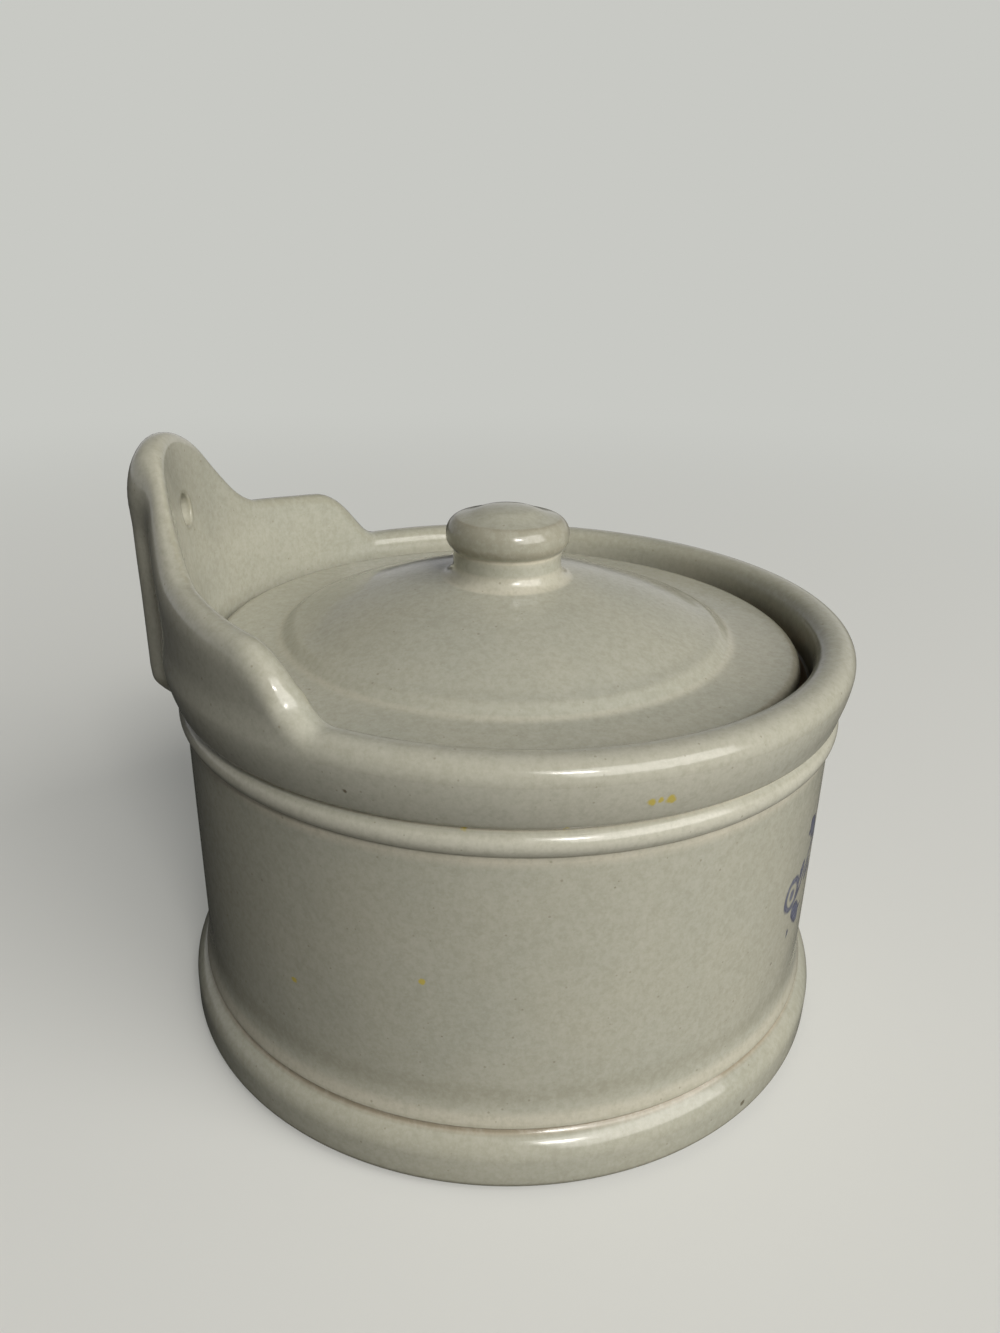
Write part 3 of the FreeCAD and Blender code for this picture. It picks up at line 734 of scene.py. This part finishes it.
def marks(shade, place, x, y, z, spots):
    """Share of the surface under a few small marks with ragged edges."""
    around = around_wall(shade, x, y)
    ragged = (shade.noise(place, 900.0, 2.0) - 0.5) * 0.9
    shares = []
    for bearing, height, radius in spots:
        away = length(around - math.radians(bearing) * BODY, z - height) + ragged
        shares.append(away.span(radius * 0.6, radius, 1.0, 0.0))
    return shade.most(*shares)


def leaf(along, up, middle, turn, long, wide):
    """Distance outside a pointed leaf, from its middle, turn in degrees, length and width."""
    cos, sin = math.cos(math.radians(turn)), math.sin(math.radians(turn))
    off_x, off_y = along - middle[0], up - middle[1]
    lengthwise = off_x * cos + off_y * sin
    crosswise = (off_y * cos - off_x * sin).absolute()
    bow = arc_radius(long / 2, wide / 2)
    return length(lengthwise, crosswise + (bow - wide / 2)) - bow


def vine(shade, place, x, y, z):
    """Blue brushwork: a waving stem with paired leaves, blossoms in its bends and dots.

    Returns the share of paint, and how much of it has pooled. Shapes are distances outside
    their outline. Every other step of the pattern is upside down.
    """
    step, sway, thick = VINE["step"], VINE["sway"], VINE["stem"]
    waver = (shade.noise(place, 230.0, 2.0) - 0.5) * VINE["unsteady"]
    shake = (shade.noise(place, 290.0, 2.0) - 0.5) * VINE["unsteady"]
    around = around_wall(shade, x, y) + waver
    cell = (around / step).apply("ROUND")
    up = (z - VINE["height"] + shake) * (cell * math.pi).cosine()
    along = around - cell * step
    side = along.absolute()
    stem = (up - (along * (math.pi / step)).cosine() * sway).absolute() * 0.85 - thick
    large = leaf(side, up, middle=(4.4, 8.8), turn=42.0, long=9.4, wide=4.4)
    small = leaf(side, up, middle=(5.2, -1.2), turn=-62.0, long=5.4, wide=2.4)
    dot = length(along, up - 11.6) - 0.9
    pair = length(side - step / 2, up.absolute() - 8.8) - 0.8

    # a blossom on its stalk in each bend but the last
    away = length(along, up + BLOSSOM["drop"])
    bearing = shade.math("ARCTAN2", along, up + BLOSSOM["drop"])
    petals = (bearing * BLOSSOM["petals"]).cosine() * BLOSSOM["petal"] + BLOSSOM["radius"]
    blossom = shade.most(away - petals, BLOSSOM["eye"] - away)
    stalk = shade.most(side - 0.32, (up - 2.4).absolute() - 2.6)
    last = cell.absolute().span(2.4, 2.6, 0.0, 10.0)
    outside = shade.least(stem, large, small, last + shade.least(blossom, stalk), dot, pair)

    # the stem ends in a curl round a bud on each side
    past_end = around.absolute() - VINE["reach"]
    centre = length(past_end, up - (sway - VINE["curl"]))
    curl = (centre - VINE["curl"]).absolute() - thick
    outside = shade.least(shade.most(outside, past_end), curl, centre - VINE["bud"])

    load = shade.noise(place, 120.0, 2.0)
    paint = outside.span(-0.3, 0.25, 1.0, 0.0) * load.span(0.3, 0.65, 0.75, 0.97)
    pool = outside.span(-1.0, -0.25, 0.15, 0.8) * load.span(0.35, 0.6, 0.35, 1.0)
    return paint, pool


def bands(shade, place, colour, x, y, z):
    """What only the crock's outside has: painted highlight on the bead and rim, brushwork,
    and glaze at its foot: pooled and thin, partly painted shade and painted highlight.
    """
    radius = length(x, y)
    wall = radius.span(69.0, 70.2)
    # painted highlight: the bead and the lower rim band are made paler
    pale = z.near(BEAD_HEIGHT, 1.4, 2.6, 0.6) * wall + z.span(76.6, 78.0, 0.0, 0.3) * wall
    colour = shade.mix(pale, colour, GLAZE["pale"])
    paint, pool = vine(shade, place, x, y, z)
    blue = shade.mix(pool, GLAZE["wash"], GLAZE["indigo"])
    colour = shade.mix(paint * radius.span(66.0, 67.0), colour, blue)
    # cove atop the flare darker, ridge paler: thick and thin glaze, and painted shade and highlight
    colour = shade.mix(z.near(19.8, 0.8, 3.2, 0.3), colour, GLAZE["thick"])
    colour = shade.mix(z.near(14.2, 0.6, 2.2, 0.5), colour, GLAZE["thin"])
    # incised line dark brown: pooled glaze and painted shade
    groove = z.near(LINE_HEIGHT, 0.35, 1.0, 0.75) * radius.span(69.0, 69.6)
    return shade.mix(groove, colour, GLAZE["groove"])


def bare_clay(shade, x, y, z, lid):
    """Where a piece stands in the kiln, the clay is wiped clean of glaze."""
    if lid:
        return z.span(76.9, 76.6)
    ledge = z.near(LEDGE_HEIGHT, 0.12, 0.3) * length(x, y).span(64.6, 64.4)
    return shade.most(z.span(0.5, 0.2), ledge)


def glaze(name, lid=False):
    """Speckled putty glaze over buff clay, thin on edges and thick in hollows,
    with painted highlight on the edges and painted shade in the hollows.
    """
    shade = Shader(bpy.data.materials.new(name))
    place = shade.add("TexCoord").outputs["Object"]
    split = shade.add("SeparateXYZ", Vector=place)
    x, y, z = (Value(shade, split.outputs[axis]) * 1000.0 for axis in range(3))
    attribute = shade.add("Attribute")
    attribute.attribute_name = "edge"
    edge = Value(shade, attribute.outputs["Fac"])
    cloud = shade.noise(place, 26.0, 3.0)
    patch = shade.noise(place, 75.0, 2.0)
    mottle = shade.noise(place, 640.0, 3.0, 0.7)
    grain = shade.noise(place, 1500.0, 2.0, 0.6)

    # from the large to the small: clouds, edges and hollows, bands, mottle, specks and marks
    colour = shade.mix(cloud.span(0.34, 0.66), GLAZE["cool"], GLAZE["warm"])
    colour = shade.mix(patch.span(0.5, 0.8, 0.0, 0.22), colour, GLAZE["milky"])
    # paler on convex edges: glaze breaking thin, and painted highlight
    thin_glaze_and_highlight = edge.span(0.05, 0.17) * patch.span(0.3, 0.7, 0.5, 0.9)
    colour = shade.mix(thin_glaze_and_highlight, colour, GLAZE["thin"])
    # darker in hollows and creases: pooled glaze, and painted shade
    colour = shade.mix(edge.span(-0.06, -0.22, 0.0, 0.55), colour, GLAZE["thick"])
    if lid:
        # the lid's creases darker and browner: pooled glaze, and painted shade
        colour = shade.mix(edge.span(-0.1, -0.3, 0.0, 0.5), colour, GLAZE["groove"])
    else:
        colour = bands(shade, place, colour, x, y, z)
    colour = shade.mix(mottle.span(0.48, 0.66, 0.0, 0.22), colour, GLAZE["pale fleck"])
    colour = shade.mix(mottle.span(0.5, 0.34, 0.0, 0.2), colour, GLAZE["dull fleck"])
    colour = shade.mix(grain.span(0.35, 0.65, 0.14, 0.0), colour, GLAZE["dull fleck"])
    specks = shade.spots(place, 430.0, 0.34, 0.8)
    freckles = shade.spots(place, 120.0, 0.5, 0.45)
    pits = shade.spots(place, 65.0, 0.55, 0.35)
    colour = shade.mix(specks * 0.36, colour, GLAZE["speck"])
    colour = shade.mix(freckles * 0.5, colour, GLAZE["speck"])
    colour = shade.mix(pits * 0.6, colour, GLAZE["pit"])
    if not lid:
        outside = length(x, y).span(66.0, 67.0)
        for spots, tint in ((FLECKS, "fleck"), (SPECKS, "pit")):
            share = marks(shade, place, x, y, z, spots) * outside * 0.8
            colour = shade.mix(share, colour, GLAZE[tint])
    bare = bare_clay(shade, x, y, z, lid)
    colour = shade.mix(bare, colour, shade.mix(grain, GLAZE["pale clay"], GLAZE["clay"]))
    shade.set("Base Color", colour)

    rough = shade.noise(place, 60.0, 3.0).span(0.3, 0.7, 0.11, 0.19)
    rough = rough + mottle.span(0.4, 0.7, 0.0, 0.04) + pits * 0.3
    shade.set("Roughness", shade.most(rough, bare * 0.85))
    shade.set("IOR", 1.5)

    # relief in millimetres: three sizes of waves, then mottle, pits, freckles and bare clay
    height = (
        shade.noise(place, 42.0, 2.0) * 0.22 + shade.noise(place, 95.0, 2.0) * 0.07
        + shade.noise(place, 210.0, 2.0) * 0.035
        + mottle * 0.009 - pits * 0.12 - freckles * 0.01 + bare * grain * 0.05
    )
    bump = shade.add("Bump", Height=height, Strength=1.0, Distance=0.001)
    shade.set("Normal", bump.outputs["Normal"])
    return shade.owner


def dress(name, node, shape, amount, material):
    """A glazed piece that stands for a CAD node."""
    points, quads, triangles = shape
    piece = make_mesh(name, hand_made(points, amount), quads, triangles)
    piece.data.materials.append(material)
    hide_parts(node)
    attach(piece, node)


dress("crock_pot", "crock", make_crock_mesh(), 1.0, glaze("crock_pot_glaze"))
dress("crock_lid", "lid", make_lid_mesh(), 0.6, glaze("crock_lid_glaze", lid=True))

# Floor, which fades into a pale backdrop well away from the crock
BACKDROP = srgb(200, 201, 196)
bpy.ops.mesh.primitive_circle_add(
    vertices=96, radius=6.0, fill_type="NGON", location=(0, 0, -0.0005)
)
floor = bpy.context.object
floor.name = "floor"
paper = Shader(bpy.data.materials.new("floor_paper"))
seen = Value(paper, paper.add("LightPath").outputs["Is Camera Ray"])
paper.set("Base Color", paper.mix(seen, srgb(75, 75, 72), srgb(232, 232, 228)))
paper.set("Roughness", 0.9)
reach = paper.add("VectorMath", Vector=paper.add("TexCoord").outputs["Object"])
reach.operation = "LENGTH"
away = Value(paper, reach.outputs["Value"])
glow = paper.add("Emission", Color=BACKDROP)
blend = paper.add("MixShader", Fac=seen * away.span(0.05, 0.9, 0.3, 1.0, smooth=True))
paper.give(blend.inputs[1], paper.tree.nodes["Principled BSDF"].outputs[0])
paper.give(blend.inputs[2], glow.outputs[0])
paper.give(paper.tree.nodes["Material Output"].inputs["Surface"], blend.outputs[0])
floor.data.materials.append(paper.owner)


def lamp(name, bearing, rise, width, height, power):
    """Soft lamp, 3 m from the middle of the crock and aimed at it.

    Its bearing is from +X, in degrees as its rise is; its sides are in metres.
    """
    aim = Vector((0.0, 0.0, 0.06))
    turn, lift = math.radians(bearing), math.radians(rise)
    level = math.cos(lift)
    place = aim + 3.0 * Vector((math.cos(turn) * level, math.sin(turn) * level, math.sin(lift)))
    data = bpy.data.lights.new(name, "AREA")
    data.shape = "RECTANGLE"
    data.size, data.size_y = width, height
    data.energy = power
    data.color = (1.0, 0.98, 0.94)
    piece = bpy.data.objects.new(name, data)
    piece.location = place
    piece.rotation_euler = (aim - place).to_track_quat("-Z", "Y").to_euler()
    bpy.context.scene.collection.objects.link(piece)


lamp("window", -136.0, 34.0, 3.0, 2.3, 105.0)
lamp("key", -160.5, 38.0, 0.55, 0.4, 20.0)

# The room: a little light from above and more from beyond the crock
world = bpy.data.worlds.new("world")
bpy.context.scene.world = world
room = Shader(world)
way = room.add("SeparateXYZ", Vector=room.add("TexCoord").outputs["Generated"])
across, along, up = (Value(room, way.outputs[axis]) for axis in "XYZ")
beyond = across * 0.87 + along * 0.5
low_down = up.span(0.05, 0.6, 1.0, 0.0)
fill = up.span(0.0, 1.0, 0.012, 0.03) + beyond.span(-0.1, 0.8, 0.0, 0.6) * low_down
seen = Value(room, room.add("LightPath").outputs["Is Camera Ray"])
room.give(room.tree.nodes["Background"].inputs["Color"], room.mix(seen, fill, BACKDROP))

bpy.context.scene.view_settings.view_transform = "Standard"
